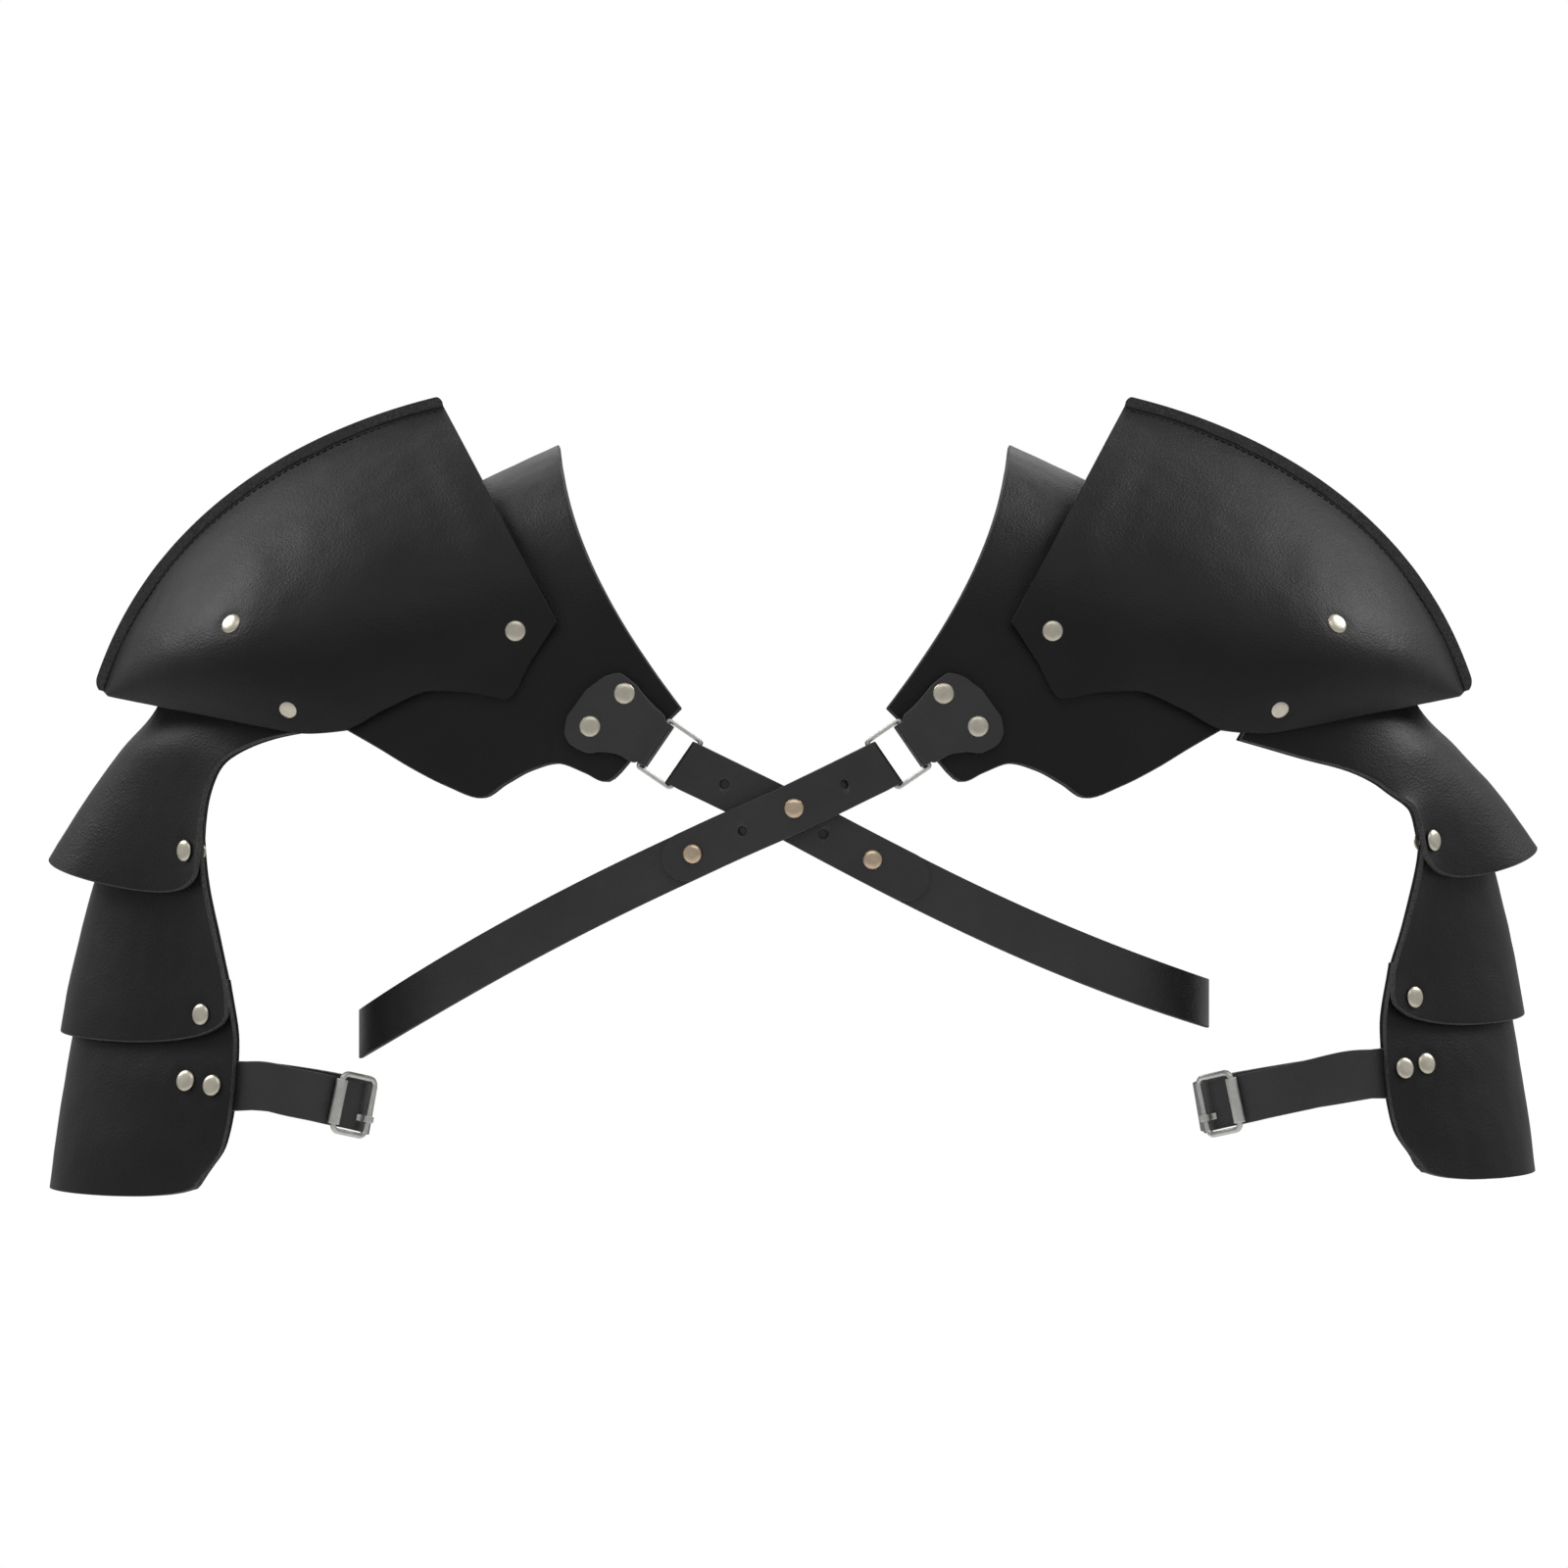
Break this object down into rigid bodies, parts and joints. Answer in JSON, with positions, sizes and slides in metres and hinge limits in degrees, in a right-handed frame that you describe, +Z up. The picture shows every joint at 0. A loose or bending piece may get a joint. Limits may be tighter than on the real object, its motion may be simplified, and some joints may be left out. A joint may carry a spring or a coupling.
{
  "type": "pair of pauldrons on a crossed chest harness",
  "caption": "Leather shoulder armour, worn: ridged caps over arm lames on both shoulders, joined by crossed chest straps with wire rings and studs, and buckled arm straps.",
  "frame": {"origin": "midway between the shoulders, on the level where the yokes sit on them", "axes": "+X towards the wearer's left, +Y backward, +Z up"},
  "size_m": [0.6093, 0.2208, 0.3269],
  "materials": {
    "armour_leather": "matt, fine grain",
    "strap_leather": "satin, fine grain",
    "chrome": "polished",
    "nickel": "polished, warm",
    "stud_brass": "polished"
  },
  "bodies": {
    "root": {"right_yoke": "armour_leather", "right_cap_front": "armour_leather", "right_cap_rear": "armour_leather", "right_lame_1": "armour_leather", "right_lame_2": "armour_leather", "right_lame_3": "armour_leather", "right_arm_strap": "strap_leather", "right_ring_tab": "strap_leather", "right_chest_strap": "strap_leather", "right_buckle_frame": "chrome", "right_buckle_roller": "chrome", "right_buckle_prong": "chrome", "right_ring": "chrome", "right_rear_ring": "chrome", "right_rivet_cap_yoke_front": "nickel", "right_rivet_cap_yoke_rear": "nickel", "right_rivet_cap_middle": "nickel", "right_rivet_cap_low_front": "nickel", "right_rivet_cap_low_rear": "nickel", "right_rivet_lame_1_front": "nickel", "right_rivet_lame_1_rear": "nickel", "right_rivet_lame_2_front": "nickel", "right_rivet_lame_2_rear": "nickel", "right_rivet_lame_3_inner": "nickel", "right_rivet_lame_3_outer": "nickel", "right_rivet_lame_3_rear": "nickel", "right_rivet_tab_1": "nickel", "right_rivet_tab_2": "nickel", "right_stud_1": "stud_brass", "right_stud_2": "stud_brass", "left_yoke": "armour_leather", "left_cap_front": "armour_leather", "left_cap_rear": "armour_leather", "left_lame_1": "armour_leather", "left_lame_2": "armour_leather", "left_lame_3": "armour_leather", "left_arm_strap": "strap_leather", "left_ring_tab": "strap_leather", "left_chest_strap": "strap_leather", "left_buckle_frame": "chrome", "left_buckle_roller": "chrome", "left_buckle_prong": "chrome", "left_ring": "chrome", "left_rear_ring": "chrome", "left_rivet_cap_yoke_front": "nickel", "left_rivet_cap_yoke_rear": "nickel", "left_rivet_cap_middle": "nickel", "left_rivet_cap_low_front": "nickel", "left_rivet_cap_low_rear": "nickel", "left_rivet_lame_1_front": "nickel", "left_rivet_lame_1_rear": "nickel", "left_rivet_lame_2_front": "nickel", "left_rivet_lame_2_rear": "nickel", "left_rivet_lame_3_inner": "nickel", "left_rivet_lame_3_outer": "nickel", "left_rivet_lame_3_rear": "nickel", "left_rivet_tab_1": "nickel", "left_rivet_tab_2": "nickel", "left_stud_1": "stud_brass", "left_stud_2": "stud_brass"}
  },
  "joints": []
}
